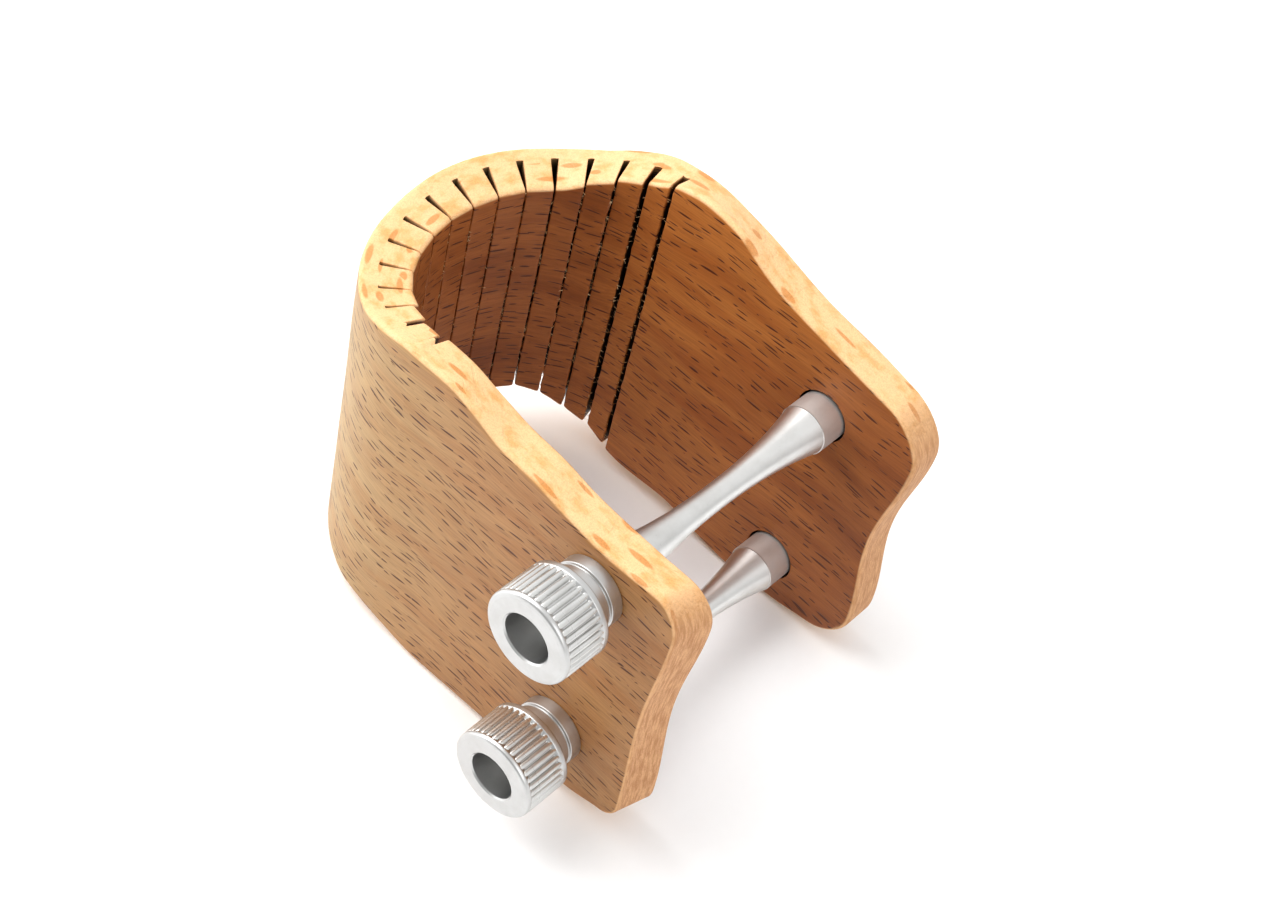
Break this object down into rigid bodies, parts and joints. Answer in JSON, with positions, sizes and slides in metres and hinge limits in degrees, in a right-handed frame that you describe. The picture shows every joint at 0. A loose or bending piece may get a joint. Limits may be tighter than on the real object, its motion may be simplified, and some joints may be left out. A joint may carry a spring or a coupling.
{
  "type": "saxophone ligature",
  "caption": "Kerf-bent wooden band that clamps a reed to a saxophone mouthpiece, tightened by knurled thumb screws on waisted metal tie rods.",
  "frame": {"origin": "on the axis of the mouthpiece bore, midway in height between the two thumb screws", "axes": "+Z along the bore axis, up; the bend is at +Y and the ears at -Y; the rods lie along X with the thumb screws at -X"},
  "size_m": [0.0458, 0.0504, 0.0414],
  "materials": {
    "beech": "oiled, satin",
    "aluminium": "bright turned and knurled",
    "steel": "satin"
  },
  "bodies": {
    "far_arm": {"strap_far": "beech"},
    "near_arm": {"strap_near": "beech"},
    "upper_rod": {"tie_rod_upper": "aluminium", "cap_screw_upper": "steel"},
    "lower_rod": {"tie_rod_lower": "aluminium", "cap_screw_lower": "steel"},
    "upper_thumb_screw": {"thumb_screw_upper": "aluminium"},
    "lower_thumb_screw": {"thumb_screw_lower": "aluminium"}
  },
  "joints": [
    {"name": "strap_flex", "type": "hinge", "parent": "far_arm", "child": "near_arm", "pos_m": [-0.00089, 0.01648, 0], "axis": [0, 0, 1], "range_deg": [0, 3.05]},
    {"name": "upper_screw_turn", "type": "hinge", "parent": "near_arm", "child": "upper_thumb_screw", "pos_m": [-0.0176, -0.022, 0.01025], "axis": [1, 0, 0], "range_deg": [0, 1600]},
    {"name": "lower_screw_turn", "type": "hinge", "parent": "near_arm", "child": "lower_thumb_screw", "pos_m": [-0.0176, -0.022, -0.01025], "axis": [1, 0, 0], "range_deg": [0, 1600]},
    {"name": "upper_rod_swing", "type": "hinge", "parent": "far_arm", "child": "upper_rod", "pos_m": [0.0155, -0.022, 0.01025], "axis": [0, 0, 1], "range_deg": [0, 1.7]},
    {"name": "lower_rod_swing", "type": "hinge", "parent": "far_arm", "child": "lower_rod", "pos_m": [0.0155, -0.022, -0.01025], "axis": [0, 0, 1], "range_deg": [0, 1.7]}
  ],
  "couplings": [
    {"joint": "strap_flex", "follows": "upper_screw_turn", "ratio": 0.0018614},
    {"joint": "lower_screw_turn", "follows": "upper_screw_turn", "ratio": 1},
    {"joint": "upper_rod_swing", "follows": "upper_screw_turn", "ratio": 0.0008771},
    {"joint": "lower_rod_swing", "follows": "upper_screw_turn", "ratio": 0.0008771}
  ]
}
